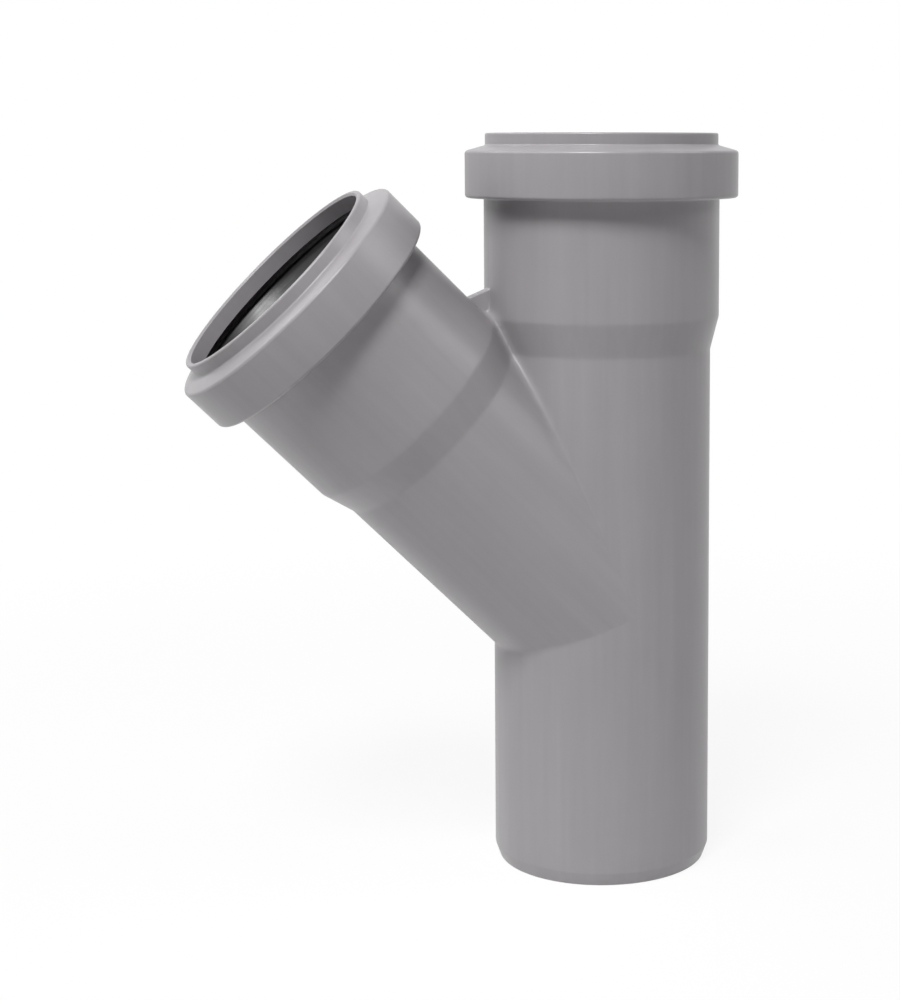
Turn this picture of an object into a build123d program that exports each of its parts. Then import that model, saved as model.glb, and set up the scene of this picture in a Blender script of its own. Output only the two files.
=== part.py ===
from build123d import *
import os
from math import cos, radians, sin, tan

# A push-fit waste pipe branch: a run with a plain spigot below and a ring seal socket above,
# and the same socket on a branch that leaves the run at an angle.
# Sizes are in millimetres. The origin is where the two axes cross. Z is up along the run, and
# the branch leans towards -X. A reach is measured from the crossing, along its own axis.

# The pipe that the fitting joins, and how far its branch leans from the run
pipe_radius = 25.0
pipe_wall = 1.8
branch_angle = 45.0

# Spigot: the plain end below the heel, with a slope that leads it into another socket
spigot_length = 51.1
spigot_slope_length = 3.0
spigot_slope_depth = 1.1
spigot_end_round = 0.3

# Socket: the wall widens over a short cone, which also stops the pipe that is pushed in.
# Both sockets are at full width this far past the point where their walls meet.
crotch_margin = 0.34
widening_length = 7.6
widening_round = 3.0
socket_clearance = 0.25
socket_wall = 1.7
socket_depth = 41.6

# Bead: the raised band round the socket that holds the seal, and the thinner lip beyond it
lip_length = 2.75
lip_wall = 1.35
shoulder_rise = 1.3
bead_length = 10.6
bead_height = 4.25
bead_wall = 1.7
bead_outer_round = 0.8
bead_root_round = 0.5
groove_round = 0.6
shoulder_wall = 1.4
lip_edge_round = 0.45
shoulder_root_round = 0.4

# Seal: a lip ring, with its lip where a pipe pushed in leaves it
seal_height = 7.3
seal_side_clearance = 0.05
seal_top_width = 2.2
seal_top_round = 0.9
seal_foot_width = 1.6
seal_heel_bevel = 0.6
seal_notch_depth = 2.6
seal_notch_offset = 2.2
seal_lip_width = 0.9
seal_lip_start = 0.9
seal_lip_land = 3.0

# Crotch: the blend between the two walls, and the flat-topped web that stiffens it
crotch_blend = 1.0
web_height = 6.6
web_thickness = 3.2

half_angle = branch_angle / 2
pipe_bore = pipe_radius - pipe_wall
socket_bore = pipe_radius + socket_clearance
socket_radius = socket_bore + socket_wall
lip_radius = socket_bore + lip_wall
bead_radius = socket_radius + bead_height
groove_radius = bead_radius - bead_wall
spigot_reach = pipe_radius * tan(radians(half_angle)) + spigot_length
spigot_plain_reach = spigot_reach - 2 * spigot_slope_length
widened_reach = socket_radius / tan(radians(half_angle)) + crotch_margin
widening_reach = widened_reach - widening_length
mouth_reach = widened_reach + socket_depth
bead_top = mouth_reach - lip_length - shoulder_rise
bead_bottom = bead_top - bead_length
groove_floor = bead_bottom + bead_wall
OPENING = 1.0
FLAT = 0.001
FROM_BASE = (Align.CENTER, Align.CENTER, Align.MIN)


def turned(points, rounds):
    """The solid that a closed outline of (radius, height) points makes when it turns about Z."""
    outline = FilletPolyline(*[(r, 0, z) for r, z in points], radius=rounds, close=True)
    return revolve(make_face(outline), Axis.Z, 360)


def on_branch(solid):
    """A solid made upright about Z, leaned over onto the axis of the branch."""
    return Rotation(0, -branch_angle, 0) * solid


def groove_ceiling(radius):
    """The height of the groove's ceiling, which keeps an even wall under the sloping shoulder."""
    slope = shoulder_rise / (bead_radius - lip_radius)
    upright_wall = shoulder_wall * (1 + slope**2) ** 0.5
    return bead_top + (bead_radius - radius) * slope - upright_wall


def socket_skin():
    """The outside of one socket, as a solid, from just below its cone to its mouth."""
    points = [
        (0, widening_reach - widening_round),
        (pipe_radius, widening_reach - widening_round),
        (pipe_radius, widening_reach),
        (socket_radius, widened_reach),
        (socket_radius, bead_bottom),
        (bead_radius, bead_bottom),
        (bead_radius, bead_top),
        (lip_radius, bead_top + shoulder_rise),
        (lip_radius, mouth_reach),
        (0, mouth_reach),
    ]
    rounds = [
        0,
        0,
        widening_round,
        widening_round,
        bead_root_round,
        bead_outer_round,
        bead_outer_round,
        shoulder_root_round,
        lip_edge_round,
        0,
    ]
    return turned(points, rounds)


def arm_hollow():
    """The space inside one arm, from the crossing to just past its mouth."""
    cone_slope = (socket_radius - pipe_radius) / widening_length
    cone_start = widening_reach + pipe_wall * cone_slope / 2
    points = [
        (0, 0),
        (pipe_bore, 0),
        (pipe_bore, cone_start),
        (socket_bore, cone_start + widening_length),
        (socket_bore, groove_floor),
        (groove_radius, groove_floor),
        (groove_radius, groove_ceiling(groove_radius)),
        (socket_bore, groove_ceiling(socket_bore)),
        (socket_bore, mouth_reach - lip_edge_round),
        (socket_bore + lip_edge_round, mouth_reach),
        (socket_bore + lip_edge_round, mouth_reach + OPENING),
        (0, mouth_reach + OPENING),
    ]
    rounds = [0, 0, widening_round, widening_round, 0, groove_round, groove_round, 0, 0, 0, 0, 0]
    return turned(points, rounds)


def spigot_tip():
    """The outside of the sloped end of the spigot, as a solid."""
    points = [
        (0, -spigot_reach),
        (pipe_radius - spigot_slope_depth, -spigot_reach),
        (pipe_radius, spigot_slope_length - spigot_reach),
        (pipe_radius, -spigot_plain_reach),
        (0, -spigot_plain_reach),
    ]
    return turned(points, [0, spigot_end_round, spigot_slope_length / 2, 0, 0])


def spigot_hollow():
    """The bore of the spigot, from the crossing to just past its end."""
    length = spigot_reach + OPENING
    return Pos(0, 0, -length) * Cylinder(pipe_bore, length, align=FROM_BASE)


def crotch_seam(solid):
    """The edges where branch and run meet in the crotch: they lie in the plane that halves the angle."""
    across = Vector(cos(radians(half_angle)), 0, sin(radians(half_angle)))
    places = (0, 0.3, 0.7, 1)
    return [e for e in solid.edges() if all(abs((e @ t).dot(across)) < FLAT for t in places)]


def crossing_skin():
    """The plain walls of run and branch, with a blend in the crotch that fades out towards the heel."""
    run_length = spigot_plain_reach + widened_reach
    run = Pos(0, 0, -spigot_plain_reach) * Cylinder(pipe_radius, run_length, align=FROM_BASE)
    branch = on_branch(Cylinder(pipe_radius, widened_reach, align=FROM_BASE))
    crossing = run + branch
    return fillet(crotch_seam(crossing), crotch_blend)


def crotch_web():
    """The web between the sockets: a wedge with its top square to the line that halves them.

    Its two sides run up the middle of the sockets' walls, from the point where those middles meet.
    """
    wall_middle = socket_radius - socket_wall / 2
    foot = wall_middle / sin(radians(half_angle))
    top = socket_radius / sin(radians(half_angle)) + web_height
    half_width = (top - foot) * tan(radians(half_angle))
    face = make_face(Polyline((0, 0, foot), (half_width, 0, top), (-half_width, 0, top), close=True))
    return Rotation(0, -half_angle, 0) * extrude(face, web_thickness / 2, both=True)


def fitting_body():
    """The whole moulding."""
    sockets = socket_skin() + on_branch(socket_skin())
    skin = crossing_skin() + spigot_tip() + sockets + crotch_web()
    return skin - (spigot_hollow() + arm_hollow()) - on_branch(arm_hollow())


def seal_ring():
    """The lip ring of an upright socket, seated on the floor of its groove."""
    outer = groove_radius - seal_side_clearance
    points = [
        (outer, groove_floor + seal_heel_bevel),
        (outer, groove_floor + seal_height),
        (outer - seal_top_width, groove_floor + seal_height),
        (pipe_radius, groove_floor + seal_lip_start + seal_lip_land),
        (pipe_radius, groove_floor + seal_lip_start),
        (pipe_radius + seal_lip_width, groove_floor + seal_lip_start),
        (pipe_radius + seal_notch_offset, groove_floor + seal_notch_depth),
        (outer - seal_foot_width, groove_floor),
        (outer - seal_heel_bevel, groove_floor),
    ]
    return turned(points, [0, seal_top_round, seal_top_round, seal_top_round, 0, 0, 0, 0, 0])


pieces = {
    "fitting_body": fitting_body(),
    "run_seal_ring": seal_ring(),
    "branch_seal_ring": on_branch(seal_ring()),
}

os.makedirs("parts", exist_ok=True)
for name, piece in pieces.items():
    export_step(piece, f"parts/{name}.step")
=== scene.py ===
"""The looks of a grey push-fit waste pipe wye: one satin moulding and the rubber seal in each socket."""

import logging
import math
from dataclasses import dataclass, field
from enum import Enum

import bpy
import numpy as np
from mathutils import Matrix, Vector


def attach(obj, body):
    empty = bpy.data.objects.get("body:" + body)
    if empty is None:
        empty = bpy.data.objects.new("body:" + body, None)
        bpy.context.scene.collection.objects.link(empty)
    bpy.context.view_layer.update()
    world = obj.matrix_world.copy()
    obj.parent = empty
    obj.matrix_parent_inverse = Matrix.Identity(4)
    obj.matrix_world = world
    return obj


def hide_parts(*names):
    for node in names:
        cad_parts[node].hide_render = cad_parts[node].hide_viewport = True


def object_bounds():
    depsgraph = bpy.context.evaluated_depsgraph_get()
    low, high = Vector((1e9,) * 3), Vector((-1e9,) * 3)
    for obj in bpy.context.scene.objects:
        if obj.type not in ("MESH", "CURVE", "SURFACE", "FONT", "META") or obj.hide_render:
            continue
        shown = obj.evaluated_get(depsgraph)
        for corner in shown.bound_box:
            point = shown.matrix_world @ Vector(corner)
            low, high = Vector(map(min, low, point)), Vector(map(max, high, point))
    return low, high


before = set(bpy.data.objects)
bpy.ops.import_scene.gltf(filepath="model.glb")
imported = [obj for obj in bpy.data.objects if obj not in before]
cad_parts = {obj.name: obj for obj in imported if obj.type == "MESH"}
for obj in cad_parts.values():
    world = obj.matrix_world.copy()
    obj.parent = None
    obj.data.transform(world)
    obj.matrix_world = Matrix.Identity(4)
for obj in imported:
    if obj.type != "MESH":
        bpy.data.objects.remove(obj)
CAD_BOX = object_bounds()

log = logging.getLogger("wye")

MM = 0.001
UP = np.array([0.0, 0.0, 1.0])
SIDE = np.array([0.0, 1.0, 0.0])
ARM_PLACE = "arm_place"
WHITE = (1.0, 1.0, 1.0, 1.0)
# Numbers of the Mix node's colour sockets, which share their names with its other ones.
MIX_FIRST, MIX_SECOND, MIX_RESULT = 6, 7, 2


class Arm(Enum):
    """The three pipes that meet at the crossing."""

    SPIGOT = "spigot"
    RUN = "run"
    BRANCH = "branch"


@dataclass(frozen=True)
class WyeSizes:
    """Sizes of the fitting in millimetres. A reach is measured from the crossing along its own axis."""

    pipe_radius: float = 25.0
    pipe_wall: float = 1.8
    branch_angle: float = 45.0
    spigot_length: float = 51.1
    spigot_slope_length: float = 3.0
    spigot_slope_depth: float = 1.1
    crotch_margin: float = 0.34
    widening_length: float = 7.6
    socket_clearance: float = 0.25
    socket_wall: float = 1.7
    socket_depth: float = 41.6
    lip_length: float = 2.75
    lip_wall: float = 1.35
    shoulder_rise: float = 1.3
    bead_length: float = 10.6
    bead_height: float = 4.25
    bead_wall: float = 1.7
    shoulder_wall: float = 1.4
    web_height: float = 6.6
    web_thickness: float = 3.2

    @property
    def half_angle(self) -> float:
        """Half of the angle between run and branch, in radians."""
        return math.radians(self.branch_angle / 2)

    @property
    def halving(self) -> np.ndarray:
        """The direction that halves the angle between run and branch."""
        return np.array([-math.sin(self.half_angle), 0.0, math.cos(self.half_angle)])

    @property
    def across(self) -> np.ndarray:
        """The direction square to the halving plane, towards the run."""
        return np.array([math.cos(self.half_angle), 0.0, math.sin(self.half_angle)])

    @property
    def pipe_bore(self) -> float:
        """The radius inside the plain pipe."""
        return self.pipe_radius - self.pipe_wall

    @property
    def socket_bore(self) -> float:
        """The radius inside a socket."""
        return self.pipe_radius + self.socket_clearance

    @property
    def socket_radius(self) -> float:
        """The radius outside a socket."""
        return self.socket_bore + self.socket_wall

    @property
    def lip_radius(self) -> float:
        """The radius outside the thin lip at the mouth."""
        return self.socket_bore + self.lip_wall

    @property
    def bead_radius(self) -> float:
        """The radius outside the bead that holds the seal."""
        return self.socket_radius + self.bead_height

    @property
    def groove_radius(self) -> float:
        """The radius of the seal groove inside the bead."""
        return self.bead_radius - self.bead_wall

    @property
    def spigot_reach(self) -> float:
        """How far the spigot's end lies from the crossing."""
        return self.pipe_radius * math.tan(self.half_angle) + self.spigot_length

    @property
    def widened_reach(self) -> float:
        """Where a socket has its full width."""
        return self.socket_radius / math.tan(self.half_angle) + self.crotch_margin

    @property
    def widening_reach(self) -> float:
        """Where the plain pipe starts to widen."""
        return self.widened_reach - self.widening_length

    @property
    def mouth_reach(self) -> float:
        """Where a socket ends."""
        return self.widened_reach + self.socket_depth

    @property
    def bead_top(self) -> float:
        """The upper end of the bead's outer wall."""
        return self.mouth_reach - self.lip_length - self.shoulder_rise

    @property
    def bead_bottom(self) -> float:
        """The underside of the bead."""
        return self.bead_top - self.bead_length

    @property
    def groove_floor(self) -> float:
        """The floor of the seal groove."""
        return self.bead_bottom + self.bead_wall

    @property
    def web_top(self) -> float:
        """How far the web's top lies from the crossing, along the line that halves the arms."""
        return self.socket_radius / math.sin(self.half_angle) + self.web_height

    def groove_ceiling(self, radius: float) -> float:
        """The ceiling of the seal groove at one radius, an even wall below the sloping shoulder.

        Args:
            radius: Distance from the socket's axis, in millimetres.

        Returns:
            The reach of the ceiling at that radius.
        """
        slope = self.shoulder_rise / (self.bead_radius - self.lip_radius)
        upright_wall = self.shoulder_wall * math.hypot(1.0, slope)
        return self.bead_top + (self.bead_radius - radius) * slope - upright_wall


@dataclass(frozen=True)
class EdgeRounds:
    """How softly the edges of the moulding are rounded, in millimetres."""

    spigot_end: float = 0.3
    widening: float = 3.0
    bead_root: float = 0.5
    bead_edge: float = 0.8
    shoulder_root: float = 0.4
    lip_edge: float = 0.45
    groove: float = 0.6
    crotch_top: float = 1.3
    crotch_low: float = 3.0
    web_edge: float = 0.4
    web_root: float = 0.7


def srgb(hex_colour: str) -> tuple[float, float, float, float]:
    """Turns an sRGB hex colour into the linear colour that a shader takes.

    Args:
        hex_colour: Six hex digits after a hash sign.

    Returns:
        Linear red, green, blue and an alpha of one.
    """
    values = np.array([int(hex_colour[i : i + 2], 16) for i in (1, 3, 5)]) / 255.0
    linear = np.where(values <= 0.04045, values / 12.92, ((values + 0.055) / 1.055) ** 2.4)
    return (*linear.tolist(), 1.0)


def rounded_outline(
    points: list[tuple[float, float]], rounds: list[float], step_angle: float = math.radians(11)
) -> np.ndarray:
    """An open outline with its corners rounded by arcs.

    At a corner with sides along unit vectors u and v, an arc of radius r touches each side at
    r / tan(half the corner's angle), and its centre lies r / sin(half the angle) along u + v.
    Points of the arc are the spherical blend of its two end radii.

    Args:
        points: The corners, as (radius, reach).
        rounds: The radius of each corner's arc, zero for a sharp one.
        step_angle: The largest turn between two points of an arc.

    Returns:
        An array of (radius, reach) rows.
    """
    corners = np.array(points, float)
    pieces = [corners[:1]]
    for before, corner, after, radius in zip(corners, corners[1:], corners[2:], rounds[1:]):
        if radius == 0:
            pieces.append(corner[None])
            continue
        u = (before - corner) / np.linalg.norm(before - corner)
        v = (after - corner) / np.linalg.norm(after - corner)
        half = math.acos(float(np.clip(u @ v, -1, 1))) / 2
        centre = corner + (u + v) / np.linalg.norm(u + v) * radius / math.sin(half)
        start = corner + u * radius / math.tan(half) - centre
        end = corner + v * radius / math.tan(half) - centre
        turn = math.pi - 2 * half
        t = np.linspace(0, 1, max(2, math.ceil(turn / step_angle)) + 1)[:, None]
        pieces.append(centre + (np.sin((1 - t) * turn) * start + np.sin(t * turn) * end) / math.sin(turn))
    pieces.append(corners[-1:])
    return np.vstack(pieces)


def spaced(*spans: tuple[float, float, float]) -> np.ndarray:
    """Evenly spaced reaches, one span after another, each as start, end and step."""
    return np.concatenate([np.arange(*span) for span in spans])


def weld(points: np.ndarray, quads: np.ndarray, grain: float = 1e-4) -> tuple[np.ndarray, np.ndarray]:
    """Joins points that fall on the same spot.

    Args:
        points: Points in millimetres, one per row.
        quads: Four point numbers per row.
        grain: Points closer than this count as one.

    Returns:
        The remaining points, and the quads with their numbers changed.
    """
    keys = np.round(points / grain).astype(np.int64)
    _, first, inverse = np.unique(keys, axis=0, return_index=True, return_inverse=True)
    return points[first], inverse.reshape(-1)[quads]


def grid_quads(rows: int, columns: int, start: int, flip: bool, closed_rows: bool = False) -> np.ndarray:
    """The quads of a grid that closes on itself across its columns.

    Args:
        rows: Number of rows.
        columns: Number of columns; the last joins the first.
        start: Number of the grid's first point.
        flip: Whether the faces turn the other way.
        closed_rows: Whether the last row joins the first.

    Returns:
        Four point numbers per row.
    """
    i, j = np.meshgrid(np.arange(rows if closed_rows else rows - 1), np.arange(columns), indexing="ij")
    below, above = i * columns, ((i + 1) % rows) * columns
    beside = (j + 1) % columns
    quads = np.stack([below + j, below + beside, above + beside, above + j], -1).reshape(-1, 4) + start
    return quads[:, ::-1] if flip else quads


def make_mesh(
    name: str, points: np.ndarray, quads: np.ndarray, places: np.ndarray, sharp_degrees: float
) -> bpy.types.Object:
    """Makes a mesh object from welded quads, dropping those that have collapsed.

    A quad with two equal neighbours becomes a triangle, and one with less than three corners goes.

    Args:
        name: Name of the object.
        points: Points in millimetres.
        quads: Four point numbers per row.
        places: A vector for each quad corner, kept as the attribute that patterns follow.
        sharp_degrees: Edges that turn by more than this stay sharp.

    Returns:
        The new object, at the origin.
    """
    same = quads == np.roll(quads, -1, axis=1)
    crossed = (quads[:, 0] == quads[:, 2]) | (quads[:, 1] == quads[:, 3])
    whole = ~same.any(1) & ~crossed
    thin = (same.sum(1) == 1) & ~crossed
    keep = np.argsort(same[thin], axis=1, kind="stable")[:, :3]
    keep.sort(axis=1)
    triangles = np.take_along_axis(quads[thin], keep, 1)
    faces = quads[whole].tolist() + triangles.tolist()
    mesh = bpy.data.meshes.new(name)
    mesh.from_pydata((points * MM).tolist(), [], faces)
    thin_places = np.take_along_axis(places[thin], keep[..., None], 1)
    kept = np.vstack([places[whole].reshape(-1, 3), thin_places.reshape(-1, 3)])
    attribute = mesh.attributes.new(ARM_PLACE, "FLOAT_VECTOR", "CORNER")
    attribute.data.foreach_set("vector", (kept * MM).astype(np.float32).ravel())
    mesh.polygons.foreach_set("use_smooth", np.ones(len(faces), bool))
    mesh.set_sharp_from_angle(angle=math.radians(sharp_degrees))
    mesh.validate(verbose=False)
    mesh.update()
    piece = bpy.data.objects.new(name, mesh)
    bpy.context.scene.collection.objects.link(piece)
    return piece


@dataclass(frozen=True)
class ArmFrame:
    """The directions of one arm: along its axis, and square to it towards its crotch or heel."""

    along: np.ndarray
    inward: np.ndarray

    @staticmethod
    def of(arm: Arm, sizes: WyeSizes) -> "ArmFrame":
        """The frame of an arm. The run's and the spigot's second direction points to the branch's side."""
        lean = math.radians(sizes.branch_angle)
        if arm is Arm.BRANCH:
            along = np.array([-math.sin(lean), 0.0, math.cos(lean)])
            return ArmFrame(along, np.array([math.cos(lean), 0.0, math.sin(lean)]))
        return ArmFrame(UP if arm is Arm.RUN else -UP, np.array([-1.0, 0.0, 0.0]))

    def place(self, radius: np.ndarray, angle: np.ndarray, reach: np.ndarray) -> np.ndarray:
        """Points at cylindrical places: radius times (inward cos + side sin), plus reach along the axis.

        Args:
            radius: Distance from the axis.
            angle: Angle about the axis, from the inward direction, in radians.
            reach: Distance along the axis.

        Returns:
            Points with a last axis of three.
        """
        across = np.cos(angle)[..., None] * self.inward + np.sin(angle)[..., None] * SIDE
        return radius[..., None] * across + reach[..., None] * self.along

    def turn(self, line: np.ndarray, angle: np.ndarray) -> np.ndarray:
        """Points of a line of (radius, reach) turned about the axis, one row for each of its points."""
        radius, reach, angles = np.broadcast_arrays(line[:, :1], line[:, 1:], angle)
        return self.place(radius, angles, reach)

    def own_place(self, points: np.ndarray) -> np.ndarray:
        """How far each point lies inward, to the side and along the axis."""
        return np.stack([points @ self.inward, points @ SIDE, points @ self.along], -1)

    def mirrored(self) -> bool:
        """Whether inward, side and along make a left-handed set."""
        return float(np.cross(self.inward, SIDE) @ self.along) < 0


class FittingPiece:
    """What the pieces of the fitting share: each stands for one CAD node and has its material slot."""

    name: str
    node: str
    slot: str

    def dress(self, piece: bpy.types.Object, material: bpy.types.Material) -> None:
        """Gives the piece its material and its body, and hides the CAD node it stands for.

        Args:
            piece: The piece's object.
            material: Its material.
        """
        piece.data.materials.append(material)
        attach(piece, "root")
        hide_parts(self.node)


@dataclass(frozen=True)
class MeshSteps:
    """Steps between the rows and columns of the moulding's mesh, in millimetres unless named otherwise.

    A name that ends in _end is the reach where the step of that name stops. Rows crowd up behind a
    seam over the crowding, and one nearer to it than joined becomes the seam. The cone's rows start
    cone_lead_rounds of its own round before it, the spigot's tip tip_slopes of its slope before the
    end, and the mouth's flat is reached lip_rounds of the lip's round inside the lip's wall.
    """

    arc_degrees: float = 2.2
    crowding: float = 0.8
    joined: float = 0.03
    arm: float = 1.0
    cone: float = 0.45
    cone_end: float = 68.0
    cone_lead_rounds: float = 1.5
    socket: float = 0.7
    socket_end: float = 75.0
    cone_bore: float = 0.9
    cone_bore_end: float = 56.0
    arm_bore: float = 2.0
    heel: float = 0.7
    heel_end: float = 14.0
    spigot: float = 2.0
    spigot_bore: float = 6.0
    heel_bore: float = 1.5
    heel_bore_end: float = 12.0
    tip_bore: float = 2.0
    tip_slopes: float = 3.0
    lip_rounds: float = 1.5
    past_crossing: float = 0.1
    web_flat: tuple[float, ...] = (0.0, 0.4, 0.8)
    web_edge_degrees: tuple[float, ...] = (0.0, 22.0, 45.0, 67.0, 90.0)
    web_root_shares: tuple[float, ...] = (0.02, 0.12, 0.3, 0.6, 1.0, 1.6, 2.6)


@dataclass(frozen=True)
class BlendSteps:
    """How the walls are brought onto their soft union, in millimetres where it isn't a share or a count."""

    newton_steps: int = 14
    longest_step: float = 0.4
    free_aside_share: float = 0.6
    round_fade: float = 28.0
    guard_fade: float = 4.0
    guard_share: float = 0.2
    seam_width: float = 1e-6
    least_width: float = 1e-6
    slope_nudge: float = 0.05


@dataclass(frozen=True)
class ArmProfile:
    """The lines, as rows of (radius, reach), that one arm's skin is turned from.

    The wall and the bore end at seams with the other arms. Their rows lie at given reaches.
    """

    wall: np.ndarray
    wall_rows: np.ndarray
    tip: np.ndarray
    bore: np.ndarray
    bore_rows: np.ndarray


@dataclass
class WyeBody(FittingPiece):
    """The moulding: three arms whose walls meet in a crotch, at a heel and straight through."""

    sizes: WyeSizes
    rounds: EdgeRounds = EdgeRounds()
    steps: MeshSteps = MeshSteps()
    blend: BlendSteps = BlendSteps()
    seam_rounds: int = 60
    sharp_degrees: float = 32.0
    name: str = "wye_moulding"
    node: str = "fitting_body"
    slot: str = "grey_polypropylene"
    outer: np.ndarray = field(init=False)
    inner: np.ndarray = field(init=False)

    def __post_init__(self) -> None:
        """Works out the outlines of a socket arm."""
        self.outer, self.inner = self.socket_outlines()

    def socket_outlines(self) -> tuple[np.ndarray, np.ndarray]:
        """The outline of a socket arm from the crossing to its lip, and from the lip back inside."""
        s, r = self.sizes, self.rounds
        slope = (s.socket_radius - s.pipe_radius) / s.widening_length
        cone_start = s.widening_reach + s.pipe_wall * slope / 2
        rim_flat = s.lip_radius - r.lip_edge * self.steps.lip_rounds
        outer = rounded_outline(
            [
                (s.pipe_radius, 0),
                (s.pipe_radius, s.widening_reach),
                (s.socket_radius, s.widened_reach),
                (s.socket_radius, s.bead_bottom),
                (s.bead_radius, s.bead_bottom),
                (s.bead_radius, s.bead_top),
                (s.lip_radius, s.bead_top + s.shoulder_rise),
                (s.lip_radius, s.mouth_reach),
                (rim_flat, s.mouth_reach),
            ],
            [0, *[r.widening] * 2, r.bead_root, *[r.bead_edge] * 2, r.shoulder_root, r.lip_edge, 0],
        )
        inner = rounded_outline(
            [
                (s.socket_bore + r.lip_edge, s.mouth_reach),
                (s.socket_bore, s.mouth_reach - r.lip_edge),
                (s.socket_bore, s.groove_ceiling(s.socket_bore)),
                (s.groove_radius, s.groove_ceiling(s.groove_radius)),
                (s.groove_radius, s.groove_floor),
                (s.socket_bore, s.groove_floor),
                (s.socket_bore, cone_start + s.widening_length),
                (s.pipe_bore, cone_start),
                (s.pipe_bore, 0),
            ],
            [0, 0, 0, *[r.groove] * 2, 0, *[r.widening] * 2, 0],
        )
        return outer, inner

    def angles(self, arm: Arm) -> tuple[np.ndarray, np.ndarray]:
        """The angles of an arm's columns, finer round the web on the side of the crotch.

        Args:
            arm: The arm.

        Returns:
            The angles in order, and how far each column on the crotch's side lies from the middle plane.
        """
        s, r, steps = self.sizes, self.rounds, self.steps
        arc_step = math.radians(steps.arc_degrees)
        half = s.web_thickness / 2
        edge = half - r.web_edge + r.web_edge * np.sin(np.radians(steps.web_edge_degrees))
        root = half + r.web_root * np.array(steps.web_root_shares)
        near = np.arcsin(np.concatenate([steps.web_flat, edge, root]) / s.socket_radius)
        count = math.ceil((math.pi / 2 - near[-1]) / arc_step)
        quarter = np.concatenate([near, np.linspace(near[-1], math.pi / 2, count + 1)[1:]])
        crotch = np.concatenate([-quarter[:0:-1], quarter])
        count = 2 * math.ceil(math.pi / 2 / arc_step)
        plain = np.linspace(-math.pi / 2, math.pi / 2, count + 1)
        front = plain if arm is Arm.SPIGOT else crotch
        angles = np.concatenate([front, plain[1:-1] + math.pi])
        return angles, np.where(np.cos(angles) > 0, s.socket_radius * np.sin(angles), np.inf)

    def seam_reach(self, arm: Arm, radius: np.ndarray, angle: np.ndarray) -> np.ndarray:
        """Where an arm's wall meets its neighbours' walls.

        Two walls of equal radius r meet in the plane that halves their axes, so along either axis the
        seam lies at r cos(angle) / tan(half the angle between the axes), and at zero where run and
        spigot are in line.

        Args:
            arm: The arm.
            radius: Radius of the wall.
            angle: Angle about the axis, from the inward direction.

        Returns:
            The seam's reach, of the same shape.
        """
        crotch = radius * np.cos(angle) / math.tan(self.sizes.half_angle)
        heel = radius * np.abs(np.cos(angle)) * math.tan(self.sizes.half_angle)
        towards = np.cos(angle) > 0
        if arm is Arm.RUN:
            return np.where(towards, crotch, 0.0)
        if arm is Arm.BRANCH:
            return np.where(towards, crotch, heel)
        return np.where(towards, heel, 0.0)

    def settled_seam(self, arm: Arm, outline: np.ndarray, angle: np.ndarray) -> np.ndarray:
        """The seam on a wall whose radius changes along it, found by repeating radius, seam, radius."""
        order = np.argsort(outline[:, 1], kind="stable")
        reach = self.seam_reach(arm, np.full_like(angle, outline[order[0], 0]), angle)
        for _ in range(self.seam_rounds):
            radius = np.interp(reach, outline[order, 1], outline[order, 0])
            reach = self.seam_reach(arm, radius, angle)
        return reach

    def crowded_rows(self, rows: np.ndarray, seam: np.ndarray) -> np.ndarray:
        """Reach of each row and column, where rows that lie before the seam crowd up behind it.

        The reach is seam + w log(1 + exp((row - seam) / w)): far past the seam it is the row's own
        reach, and far before the seam it is the seam.

        Args:
            rows: Reach of each row, away from the seam.
            seam: Reach of the seam at each column.

        Returns:
            An array of rows by columns.
        """
        w = self.steps.crowding
        reach = seam + w * np.logaddexp(0, (rows[:, None] - seam) / w)
        return np.where(reach - seam < self.steps.joined, seam, reach)

    def wall_radius(self, reach: np.ndarray) -> np.ndarray:
        """The outer radius of a socket arm at a reach below its bead."""
        plain = self.outer[self.outer[:, 1] < self.steps.socket_end]
        return np.interp(reach, plain[:, 1], plain[:, 0])

    def wall_distance(self, points: np.ndarray, arm: Arm) -> tuple[np.ndarray, np.ndarray, np.ndarray]:
        """How far points lie outside an arm's wall, and the directions in which that distance grows.

        The distance is radius from the axis minus the wall's radius at that reach. It grows straight
        away from the axis, less the wall's slope along it. Behind the crossing the branch ends, which
        adds the distance behind it.

        Args:
            points: Points with a last axis of three.
            arm: RUN, which also stands for the spigot in line with it, or BRANCH.

        Returns:
            Distances, unit directions straight away from the axis, and the gradients of the distance.
        """
        axes = ArmFrame.of(arm, self.sizes)
        reach = points @ axes.along
        across = points - reach[..., None] * axes.along
        away = np.linalg.norm(across, axis=-1)
        nudge = self.blend.slope_nudge
        slope = (self.wall_radius(reach + nudge) - self.wall_radius(reach - nudge)) / (2 * nudge)
        distance = away - self.wall_radius(reach)
        if arm is Arm.BRANCH:
            distance = distance + np.maximum(0, -reach)
        straight = across / away[..., None]
        return distance, straight, straight - slope[..., None] * axes.along

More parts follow.
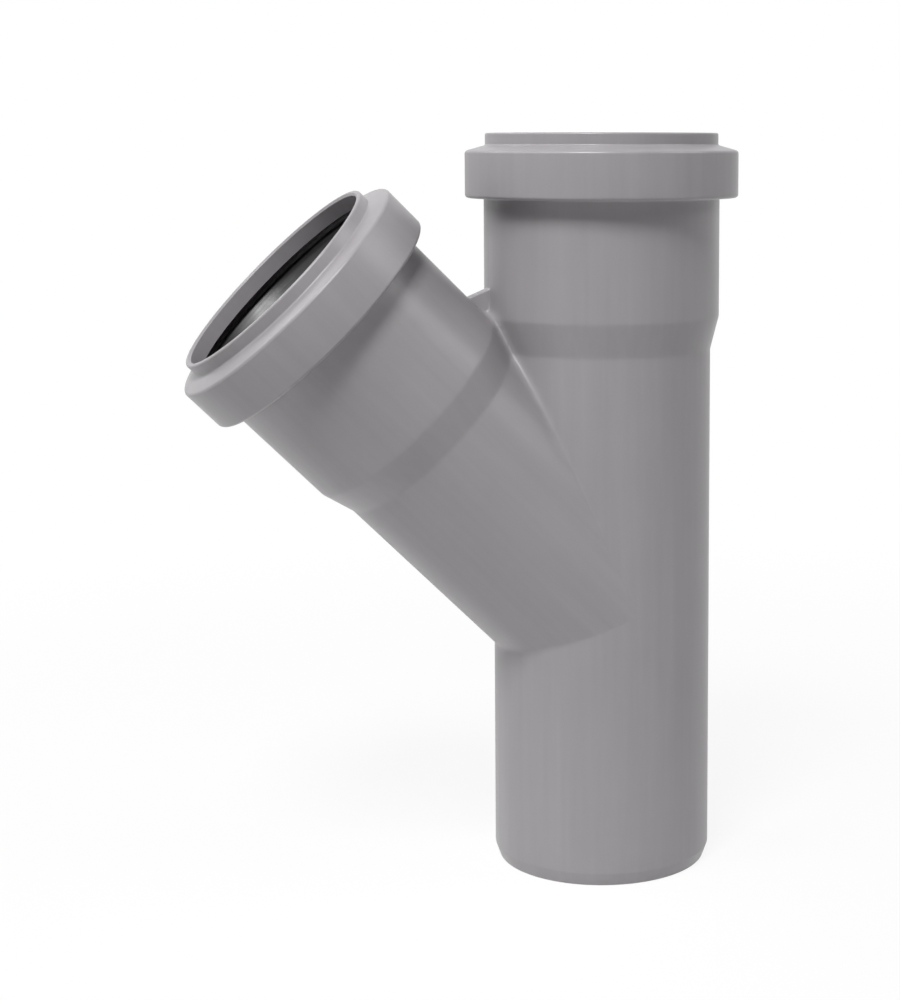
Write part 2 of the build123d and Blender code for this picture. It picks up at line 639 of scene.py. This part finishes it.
    def blended(self, points: np.ndarray) -> np.ndarray:
        """Moves points of the outer wall onto a soft union of run and branch.

        With distances a and b outside the two walls, the soft union is a h + b (1 - h) - k h (1 - h),
        where h runs from 0 to 1 as b - a runs from -k to k. For a blend of radius r between walls
        whose straight directions differ by an angle t, k is 4 r (1 - cos(t / 2)). Short Newton steps
        along the gradient bring each point to zero. Near the middle plane a point keeps its distance
        from it, so that the columns there stay straight for the web. Above the crossing, each point
        stays on its own side of the plane that halves the arms.

        Args:
            points: Points on the plain walls.

        Returns:
            Points on the blended wall.
        """
        s, r, blend = self.sizes, self.rounds, self.blend
        moved = points.copy()
        aside = np.clip(np.abs(points[..., 1]) / s.pipe_radius, 0, 1)
        freedom = np.ones_like(points)
        freedom[..., 1] = np.clip(aside / blend.free_aside_share, 0, 1) ** 2
        height = points @ s.halving
        radius = r.crotch_low + (r.crotch_top - r.crotch_low) * np.clip(height / blend.round_fade, 0, 1)
        for _ in range(blend.newton_steps):
            a, off_run, from_run = self.wall_distance(moved, Arm.RUN)
            b, off_branch, from_branch = self.wall_distance(moved, Arm.BRANCH)
            cosine = np.clip((off_run * off_branch).sum(-1), -1, 1)
            k = np.maximum(4 * radius * (1 - np.sqrt((1 + cosine) / 2)), blend.least_width)
            h = np.clip(0.5 + 0.5 * (b - a) / k, 0, 1)
            value = a * h + b * (1 - h) - k * h * (1 - h)
            gradient = from_run * h[..., None] + from_branch * (1 - h)[..., None]
            way = gradient * freedom
            length = np.linalg.norm(way, axis=-1)
            step = value * length / (gradient * way).sum(-1)
            step = np.clip(step, -blend.longest_step, blend.longest_step)
            moved = moved - (step / length)[..., None] * way
        side, now = points @ s.across, moved @ s.across
        least = side * blend.guard_share
        kept = np.where(side > 0, np.maximum(now, least), np.minimum(now, least))
        kept = np.where(np.abs(side) < blend.seam_width, 0, kept)
        shift = (kept - now) * np.clip(height / blend.guard_fade, 0, 1)
        return moved + shift[..., None] * s.across

    def webbed(self, points: np.ndarray, aside: np.ndarray) -> np.ndarray:
        """Lifts the walls between the sockets up to the flat top of the web.

        Along the line that halves the arms, a point below the web's top rises to it. Over the web's
        rounded edge the top drops by e - sqrt(e^2 - d^2), d being the way past the edge's start, and
        beside the web the wall rises by its root's round in the same way.

        Args:
            points: Points of the outer wall, rows by columns.
            aside: How far each column lies from the middle plane.

        Returns:
            The points with the web.
        """
        s, r = self.sizes, self.rounds
        half = s.web_thickness / 2
        height = points @ s.halving
        past_edge = np.clip(np.abs(aside) - (half - r.web_edge), 0, r.web_edge)
        top = s.web_top - (r.web_edge - np.sqrt(r.web_edge**2 - past_edge**2))
        room = np.maximum(top - height, 0)
        to_root = np.clip(half + r.web_root - np.abs(aside), 0, r.web_root)
        root = r.web_root - np.sqrt(r.web_root**2 - to_root**2)
        inside = np.abs(aside) <= half + self.blend.seam_width
        lift = np.where(inside, room, np.minimum(root, room))
        lift = np.where(height > s.pipe_radius, lift, 0)
        return points + lift[..., None] * s.halving

    def spigot_profile(self) -> ArmProfile:
        """The lines of the spigot: a plain wall, the slope at its end and a plain bore."""
        s, steps = self.sizes, self.steps
        end = s.spigot_reach
        tip = rounded_outline(
            [
                (s.pipe_radius, end - steps.tip_slopes * s.spigot_slope_length),
                (s.pipe_radius, end - s.spigot_slope_length),
                (s.pipe_radius - s.spigot_slope_depth, end),
                (s.pipe_bore, end),
            ],
            [0, s.spigot_slope_length / 2, self.rounds.spigot_end, 0],
        )
        bore_spans = [
            (end - steps.tip_bore, steps.heel_bore_end, -steps.spigot_bore),
            (steps.heel_bore_end, -steps.past_crossing, -steps.heel_bore),
        ]
        return ArmProfile(
            wall=np.array([[s.pipe_radius, 0.0], [s.pipe_radius, end]]),
            wall_rows=spaced((0.0, steps.heel_end, steps.heel), (steps.heel_end, tip[0, 1], steps.spigot)),
            tip=tip,
            bore=np.array([[s.pipe_bore, 0.0], [s.pipe_bore, end]]),
            bore_rows=spaced(*bore_spans),
        )

    def socket_profile(self) -> ArmProfile:
        """The lines of a socket arm: its wall to the socket, then bead, mouth and groove, then its bore."""
        s, steps = self.sizes, self.steps
        cone = s.widening_reach - steps.cone_lead_rounds * self.rounds.widening
        wall_spans = [
            (0.0, cone, steps.arm),
            (cone, steps.cone_end, steps.cone),
            (steps.cone_end, steps.socket_end, steps.socket),
        ]
        bore_spans = [
            (steps.socket_end, steps.cone_bore_end, -steps.cone_bore),
            (steps.cone_bore_end, -steps.past_crossing, -steps.arm_bore),
        ]
        lines = (self.outer, self.inner)
        wall, bore = (line[line[:, 1] < steps.socket_end] for line in lines)
        tip = np.vstack([line[line[:, 1] > steps.socket_end] for line in lines])
        return ArmProfile(wall, spaced(*wall_spans), tip, bore, spaced(*bore_spans))

    def seamed(self, arm: Arm, line: np.ndarray, rows: np.ndarray, angle: np.ndarray) -> np.ndarray:
        """The wall or the bore of an arm, with its seam as the first row.

        Args:
            arm: The arm.
            line: The line it is turned from.
            rows: Reach of each row, away from the seam.
            angle: Angle of each column.

        Returns:
            Points of rows by columns.
        """
        seam = self.settled_seam(arm, line, angle)
        reach = np.vstack([seam[None], self.crowded_rows(rows, seam)])
        order = np.argsort(line[:, 1], kind="stable")
        radius = np.interp(reach, line[order, 1], line[order, 0])
        return ArmFrame.of(arm, self.sizes).place(radius, np.broadcast_to(angle, reach.shape), reach)

    def arm_surface(self, arm: Arm) -> tuple[np.ndarray, np.ndarray]:
        """The skin of one arm, from its outer seam round its end to its inner seam.

        Args:
            arm: The arm.

        Returns:
            Points of rows by columns, and each point's place in the arm's own frame.
        """
        axes = ArmFrame.of(arm, self.sizes)
        angle, aside = self.angles(arm)
        profile = self.spigot_profile() if arm is Arm.SPIGOT else self.socket_profile()
        wall = self.blended(self.seamed(arm, profile.wall, profile.wall_rows, angle))
        if arm is not Arm.SPIGOT:
            wall = self.webbed(wall, aside)
        bore = self.seamed(arm, profile.bore, profile.bore_rows, angle)
        points = np.concatenate([wall, axes.turn(profile.tip, angle), bore[1:], bore[:1]])
        # The spigot's patterns run on from the run's, so its way along the axis counts upwards.
        upwards = np.array([1, 1, -1 if arm is Arm.SPIGOT else 1])
        return points, axes.own_place(points) * upwards

    def build(self) -> bpy.types.Object:
        """Makes the moulding as one closed mesh.

        Returns:
            The new object.
        """
        all_points, all_places, all_quads, start = [], [], [], 0
        for arm in Arm:
            points, places = self.arm_surface(arm)
            rows, columns = points.shape[:2]
            all_quads.append(grid_quads(rows, columns, start, ArmFrame.of(arm, self.sizes).mirrored()))
            all_points.append(points.reshape(-1, 3))
            all_places.append(places.reshape(-1, 3))
            start += rows * columns
        quads = np.vstack(all_quads)
        places = np.vstack(all_places)[quads]
        points, quads = weld(np.vstack(all_points), quads)
        return make_mesh(self.name, points, quads, places, self.sharp_degrees)


@dataclass(frozen=True)
class SealRing(FittingPiece):
    """The rubber lip ring in one socket, in millimetres, with its lip where a pipe pushed in leaves it."""

    sizes: WyeSizes
    arm: Arm
    height: float = 7.3
    side_clearance: float = 0.05
    top_width: float = 2.2
    top_round: float = 0.9
    foot_width: float = 1.6
    heel_bevel: float = 0.6
    notch_depth: float = 2.6
    notch_offset: float = 2.2
    lip_width: float = 0.9
    lip_start: float = 0.9
    lip_land: float = 3.0
    edge_round: float = 0.25
    columns: int = 180
    sharp_degrees: float = 40.0
    slot: str = "seal_rubber"

    @property
    def name(self) -> str:
        """The piece's name."""
        return f"{self.arm.value}_lip_seal"

    @property
    def node(self) -> str:
        """The CAD node it stands for."""
        return f"{self.arm.value}_seal_ring"

    def outline(self) -> np.ndarray:
        """The closed section of the ring, as (radius, reach), with the corners rounded."""
        s = self.sizes
        floor = s.groove_floor
        outer = s.groove_radius - self.side_clearance
        points = [
            (outer, floor + self.height / 2),
            (outer, floor + self.height),
            (outer - self.top_width, floor + self.height),
            (s.pipe_radius, floor + self.lip_start + self.lip_land),
            (s.pipe_radius, floor + self.lip_start),
            (s.pipe_radius + self.lip_width, floor + self.lip_start),
            (s.pipe_radius + self.notch_offset, floor + self.notch_depth),
            (outer - self.foot_width, floor),
            (outer - self.heel_bevel, floor),
            (outer, floor + self.heel_bevel),
            (outer, floor + self.height / 2),
        ]
        return rounded_outline(points, [0, *[self.top_round] * 3, *[self.edge_round] * 4, 0, 0, 0])[:-1]

    def build(self) -> bpy.types.Object:
        """Turns the section about the arm's axis into one closed mesh.

        Returns:
            The new object.
        """
        section = self.outline()
        axes = ArmFrame.of(self.arm, self.sizes)
        angle = np.linspace(-math.pi, math.pi, self.columns, endpoint=False)
        points = axes.turn(section, angle).reshape(-1, 3)
        quads = grid_quads(len(section), self.columns, 0, axes.mirrored(), closed_rows=True)
        return make_mesh(self.name, points, quads, axes.own_place(points)[quads], self.sharp_degrees)


def add_node(
    tree: bpy.types.NodeTree, kind: str, inputs: dict | tuple = (), **settings: object
) -> bpy.types.Node:
    """Adds a node with its settings and its links.

    Args:
        tree: The node tree.
        kind: The node's type name.
        inputs: What feeds the inputs, in order or by name or number: a value, a socket, or a node, which
            stands for its first output.
        settings: Properties of the node.

    Returns:
        The new node.
    """
    node = tree.nodes.new(kind)
    for name, value in settings.items():
        setattr(node, name, value)
    for key, source in (inputs if isinstance(inputs, dict) else dict(enumerate(inputs))).items():
        if isinstance(source, bpy.types.Node):
            source = source.outputs[0]
        if isinstance(source, bpy.types.NodeSocket):
            tree.links.new(source, node.inputs[key])
        else:
            node.inputs[key].default_value = source
    return node


def new_material(name: str) -> tuple[bpy.types.Material, bpy.types.NodeTree]:
    """An empty node material of this name, and its tree."""
    material = bpy.data.materials.new(name)
    material.use_nodes = True
    material.node_tree.nodes.clear()
    return material, material.node_tree


class Place(Enum):
    """What a pattern follows: the way along its own arm, or the object as a whole."""

    ARM = "arm"
    OBJECT = "object"


@dataclass(frozen=True)
class Pattern:
    """A soft noise with spots of a real width, some finer layers in them, and longer along Z."""

    place: Place
    spot_mm: float
    layers: float
    stretch: float = 1.0


class MouldedFinish:
    """What the two moulded materials share: a pair of near colours, uneven roughness and fine relief."""

    name: str
    light: str
    dark: str
    roughness: tuple[float, float]
    ior: float
    # The middle part of a noise, which is spread over the whole range of the roughness.
    noise_middle = (0.3, 0.7)

    def start(
        self, *patterns: Pattern
    ) -> tuple[bpy.types.Material, dict[Place, bpy.types.NodeSocket], list[bpy.types.Node]]:
        """Makes the material with its places and its patterns.

        Args:
            patterns: The noises that it needs.

        Returns:
            The material, its two places, and a noise node for each pattern.
        """
        material, tree = new_material(self.name)
        places = {
            Place.ARM: add_node(tree, "ShaderNodeAttribute", attribute_name=ARM_PLACE).outputs["Vector"],
            Place.OBJECT: add_node(tree, "ShaderNodeTexCoord").outputs["Object"],
        }
        noises = []
        for pattern in patterns:
            inputs = (places[pattern.place], (1.0, 1.0, 1 / pattern.stretch))
            spread = add_node(tree, "ShaderNodeVectorMath", inputs, operation="MULTIPLY")
            inputs = {"Vector": spread, "Scale": 1 / (pattern.spot_mm * MM), "Detail": pattern.layers}
            noises.append(add_node(tree, "ShaderNodeTexNoise", inputs))
        return material, places, noises

    def finish(
        self,
        material: bpy.types.Material,
        tone: bpy.types.Node,
        wear: bpy.types.Node,
        relief: list[tuple[bpy.types.Node, float]],
    ) -> bpy.types.Material:
        """Adds the shader.

        Args:
            material: The material so far.
            tone: Share of the light colour.
            wear: The noise that the roughness follows.
            relief: Heights from zero to one, each with what one stands for in millimetres.

        Returns:
            The material.
        """
        tree = material.node_tree
        inputs = {"Factor": tone, MIX_FIRST: srgb(self.dark), MIX_SECOND: srgb(self.light)}
        mixed = add_node(tree, "ShaderNodeMix", inputs, data_type="RGBA")
        under = {}
        for height, depth_mm in relief:
            inputs = {"Height": height, "Distance": depth_mm * MM, "Strength": 1.0, **under}
            under = {"Normal": add_node(tree, "ShaderNodeBump", inputs)}
        inputs = {
            "Base Color": mixed.outputs[MIX_RESULT],
            "Roughness": add_node(tree, "ShaderNodeMapRange", (wear, *self.noise_middle, *self.roughness)),
            "IOR": self.ior,
            **under,
        }
        shader = add_node(tree, "ShaderNodeBsdfPrincipled", inputs)
        add_node(tree, "ShaderNodeOutputMaterial", {"Surface": shader})
        return material


@dataclass(frozen=True)
class SatinPolypropylene(MouldedFinish):
    """Grey injection-moulded polypropylene, from a polished mould.

    The eye gets a smooth, slightly waxy satin. Pale and dark streaks run along each arm, partly where the
    melt flowed and partly painted reflections of soft light streaking down the arms; real reflections waver
    over them, and a hair-thin parting line lies in the plane of the two axes.
    """

    name: str = "satin_polypropylene"
    light: str = "#979497"
    dark: str = "#918e91"
    roughness: tuple[float, float] = (0.33, 0.41)
    ior: float = 1.49
    streaks: Pattern = Pattern(Place.ARM, 1.6, 2.0, 22.0)
    bands: Pattern = Pattern(Place.ARM, 7.0, 1.0, 22.0)
    clouds: Pattern = Pattern(Place.OBJECT, 26.0, 3.0)
    waves: Pattern = Pattern(Place.ARM, 9.0, 1.0, 11.0)
    wave_depth_mm: float = 0.04
    # The grain of a polished mould is under 0.05 mm. It is drawn much coarser, so that it shows at all.
    grain: Pattern = Pattern(Place.OBJECT, 0.45, 2.0)
    grain_depth_mm: float = 0.005
    line_width_mm: float = 0.22
    line_height_mm: float = 0.06
    # Nearly all sums of streaks, bands and clouds lie in this range.
    flow_and_reflection_range: tuple[float, float] = (1.05, 1.95)

    def build(self) -> bpy.types.Material:
        """Makes the material: streaks, partly painted reflection, and waves follow the place in the arm,
        the line follows |Y|.
        """
        patterns = (self.streaks, self.bands, self.clouds, self.waves, self.grain)
        material, places, (streaks, bands, clouds, waves, grain) = self.start(*patterns)
        tree = material.node_tree
        # Streaks, bands and clouds set the tone: in part flow marks, in part painted reflections streaking
        # along the arms.
        flow_and_reflection_streaks = add_node(tree, "ShaderNodeMath", (streaks, bands), operation="ADD")
        flow_and_reflection_streaks = add_node(tree, "ShaderNodeMath", (flow_and_reflection_streaks, clouds), operation="ADD")
        tone = add_node(tree, "ShaderNodeMapRange", (flow_and_reflection_streaks, *self.flow_and_reflection_range, 0.0, 1.0))
        across = add_node(tree, "ShaderNodeSeparateXYZ", (places[Place.OBJECT],)).outputs["Y"]
        from_plane = add_node(tree, "ShaderNodeMath", (across,), operation="ABSOLUTE")
        inputs = (from_plane, 0.0, self.line_width_mm * MM, 1.0, 0.0)
        line = add_node(tree, "ShaderNodeMapRange", inputs, interpolation_type="SMOOTHSTEP")
        relief = [(waves, self.wave_depth_mm), (grain, self.grain_depth_mm), (line, self.line_height_mm)]
        return self.finish(material, tone, waves, relief)


@dataclass(frozen=True)
class SealRubber(MouldedFinish):
    """Black moulded rubber with a thin film of mounting grease.

    It is nearly black, with a soft sheen and a fine grain, and rings left by turning its mould.
    """

    name: str = "seal_rubber"
    light: str = "#2f2f30"
    dark: str = "#1f1f20"
    roughness: tuple[float, float] = (0.3, 0.45)
    ior: float = 1.52
    # A turning tool leaves rings about 0.1 mm apart, and rubber has a grain of about 0.05 mm. Both are
    # drawn coarser, so that they show.
    ring_pitch_mm: float = 0.9
    ring_depth_mm: float = 0.015
    grain: Pattern = Pattern(Place.OBJECT, 0.5, 2.0)
    grain_depth_mm: float = 0.02
    smears: Pattern = Pattern(Place.OBJECT, 6.0, 2.0)

    def build(self) -> bpy.types.Material:
        """Makes the material: rings follow the reach along the socket, and the grease lies in smears."""
        material, places, (grain, smears) = self.start(self.grain, self.smears)
        tree = material.node_tree
        reach = add_node(tree, "ShaderNodeSeparateXYZ", (places[Place.ARM],)).outputs["Z"]
        radians_per_metre = 2 * math.pi / (self.ring_pitch_mm * MM)
        phase = add_node(tree, "ShaderNodeMath", (reach, radians_per_metre), operation="MULTIPLY")
        wave = add_node(tree, "ShaderNodeMath", (phase,), operation="SINE")
        rings = add_node(tree, "ShaderNodeMapRange", (wave, -1.0, 1.0, 0.0, 1.0))
        relief = [(rings, self.ring_depth_mm), (grain, self.grain_depth_mm)]
        return self.finish(material, smears, smears, relief)


@dataclass(frozen=True)
class PaleBackdrop:
    """White studio paper: it keeps the soft shadow near the fitting and fades to plain white.
    Its own colour greys out farther away, a painted fall-off of light, so that only the floor near the
    fitting throws light back onto it.
    """

    name: str = "backdrop_paper"
    near_colour: str = "#f2f2f2"
    # The paper greys out to this colour far away: painted shade, as if only the floor near the fitting were
    # lit.
    far_shaded_colour: str = "#8c8c8c"
    near: float = 0.08
    far: float = 0.4
    painted_falloff_far: float = 0.7
    nearby_white: float = 0.9

    def build(self) -> bpy.types.Material:
        """Makes the material: matte paper that greys with distance as painted light fall-off, mixed with
        white by distance where it is seen or mirrored.
        """
        material, tree = new_material(self.name)
        place = add_node(tree, "ShaderNodeTexCoord").outputs["Object"]
        distance = add_node(tree, "ShaderNodeVectorMath", (place,), operation="LENGTH").outputs["Value"]
        fades = []
        for far, lowest in ((self.far, self.nearby_white), (self.painted_falloff_far, 0.0)):
            inputs = (distance, self.near, far, lowest, 1.0)
            fades.append(add_node(tree, "ShaderNodeMapRange", inputs, interpolation_type="SMOOTHSTEP"))
        share, painted_light_falloff = fades
        rays = add_node(tree, "ShaderNodeLightPath").outputs
        seen = rays["Is Camera Ray"]
        for ray in ("Is Glossy Ray", "Is Transmission Ray"):
            seen = add_node(tree, "ShaderNodeMath", (seen, rays[ray]), operation="MAXIMUM")
        share = add_node(tree, "ShaderNodeMath", (share, seen), operation="MULTIPLY")
        # The paper's colour darkens from near to far: a painted fall-off of light, so that the bounce comes
        # from near the fitting.
        inputs = {"Factor": painted_light_falloff, MIX_FIRST: srgb(self.near_colour), MIX_SECOND: srgb(self.far_shaded_colour)}
        colour = add_node(tree, "ShaderNodeMix", inputs, data_type="RGBA").outputs[MIX_RESULT]
        paper = add_node(tree, "ShaderNodeBsdfDiffuse", {"Color": colour})
        white = add_node(tree, "ShaderNodeEmission", {"Color": WHITE, "Strength": 1.0})
        mixed = add_node(tree, "ShaderNodeMixShader", (share, paper, white))
        add_node(tree, "ShaderNodeOutputMaterial", {"Surface": mixed})
        return material


@dataclass(frozen=True)
class SoftLamp:
    """A rectangular softbox that points at the fitting, with its width level."""

    name: str
    place: tuple[float, float, float]
    width: float
    height: float
    watts: float

    def build(self, target: tuple[float, float, float]) -> bpy.types.Object:
        """Makes the lamp.

        Args:
            target: The point it faces, in metres.

        Returns:
            The lamp object.
        """
        data = bpy.data.lights.new(self.name, "AREA")
        data.shape = "RECTANGLE"
        data.size = self.width
        data.size_y = self.height
        data.energy = self.watts
        lamp = bpy.data.objects.new(self.name, data)
        back = np.array(self.place) - np.array(target)
        lamp.location = self.place
        fall = math.acos(back[2] / float(np.linalg.norm(back)))
        lamp.rotation_euler = (fall, 0.0, math.atan2(back[1], back[0]) + math.pi / 2)
        bpy.context.scene.collection.objects.link(lamp)
        return lamp


@dataclass(frozen=True)
class Studio:
    """A plain pale floor, soft lamps and a white surrounding."""

    floor_half_width: float = 4.0
    target: tuple[float, float, float] = (-0.02, 0.0, 0.02)
    surround_light: float = 0.02
    lamps: tuple[SoftLamp, ...] = (
        SoftLamp("key_box", (-0.375, -0.521, 0.921), 0.3, 0.3, 10.0),
        SoftLamp("soft_box", (-0.732, -0.187, 0.837), 0.35, 0.35, 3.1),
        SoftLamp("left_box", (-0.708, 0.486, 0.727), 0.4, 0.4, 2.5),
        SoftLamp("right_box", (0.76, -0.319, 0.727), 0.4, 0.4, 2.3),
    )

    def build(self, floor_height: float) -> None:
        """Makes the floor, the lamps and the world.

        Args:
            floor_height: Height of the floor, in metres.
        """
        w = self.floor_half_width
        corners = [(x, y, floor_height) for x, y in ((-w, -w), (w, -w), (w, w), (-w, w))]
        mesh = bpy.data.meshes.new("floor")
        mesh.from_pydata(corners, [], [(0, 1, 2, 3)])
        mesh.materials.append(PaleBackdrop().build())
        floor = bpy.data.objects.new("floor", mesh)
        bpy.context.scene.collection.objects.link(floor)
        for lamp in self.lamps:
            lamp.build(self.target)
        world = bpy.data.worlds.new("studio_white")
        bpy.context.scene.world = world
        world.use_nodes = True
        tree = world.node_tree
        tree.nodes.clear()
        rays = add_node(tree, "ShaderNodeLightPath").outputs
        strength = self.surround_light
        for ray in ("Is Camera Ray", "Is Glossy Ray", "Is Transmission Ray"):
            strength = add_node(tree, "ShaderNodeMath", (rays[ray], strength), operation="MAXIMUM")
        background = add_node(tree, "ShaderNodeBackground", {"Color": WHITE, "Strength": strength})
        add_node(tree, "ShaderNodeOutputWorld", {"Surface": background})
        log.info("studio: %d lamps", len(self.lamps))


@dataclass(frozen=True)
class PhotoCamera:
    """The photograph's view, for a picture of 900 by 1000 pixels. Its optical axis falls off the middle."""

    place: tuple[float, float, float] = (-0.14423, -0.43354, 0.1045)
    heading_degrees: float = -18.33
    tilt_degrees: float = -6.154
    focal_px: float = 1991.5
    axis_px: tuple[float, float] = (599.1, 358.7)
    picture_px: tuple[float, float] = (900.0, 1000.0)
    sensor_mm: float = 36.0
    clip_start: float = 0.01

    def build(self) -> bpy.types.Object:
        """Makes the camera and gives it to the scene. The long side of the picture is one sensor wide."""
        data = bpy.data.cameras.new("photo_camera")
        long_side = max(self.picture_px)
        data.sensor_width = self.sensor_mm
        data.lens = self.focal_px / long_side * self.sensor_mm
        data.shift_x = (self.picture_px[0] / 2 - self.axis_px[0]) / long_side
        data.shift_y = (self.axis_px[1] - self.picture_px[1] / 2) / long_side
        data.clip_start = self.clip_start
        camera = bpy.data.objects.new("photo_camera", data)
        camera.location = self.place
        turns = (90 + self.tilt_degrees, 0.0, self.heading_degrees)
        camera.rotation_euler = [math.radians(turn) for turn in turns]
        bpy.context.scene.collection.objects.link(camera)
        bpy.context.scene.camera = camera
        return camera


def main() -> None:
    """Builds the camera, the studio and the fitting."""
    logging.basicConfig(level=logging.INFO, format="%(name)s: %(message)s")
    bpy.context.scene.view_settings.view_transform = "Standard"
    PhotoCamera().build()
    Studio().build(floor_height=CAD_BOX[0][2])
    sizes = WyeSizes()
    plastic, rubber = SatinPolypropylene().build(), SealRubber().build()
    for part, material in (
        (WyeBody(sizes), plastic),
        (SealRing(sizes, Arm.RUN), rubber),
        (SealRing(sizes, Arm.BRANCH), rubber),
    ):
        piece = part.build()
        part.dress(piece, material)
        log.info("%s: %d faces for %s", part.name, len(piece.data.polygons), part.node)


if __name__ == "__main__":
    main()
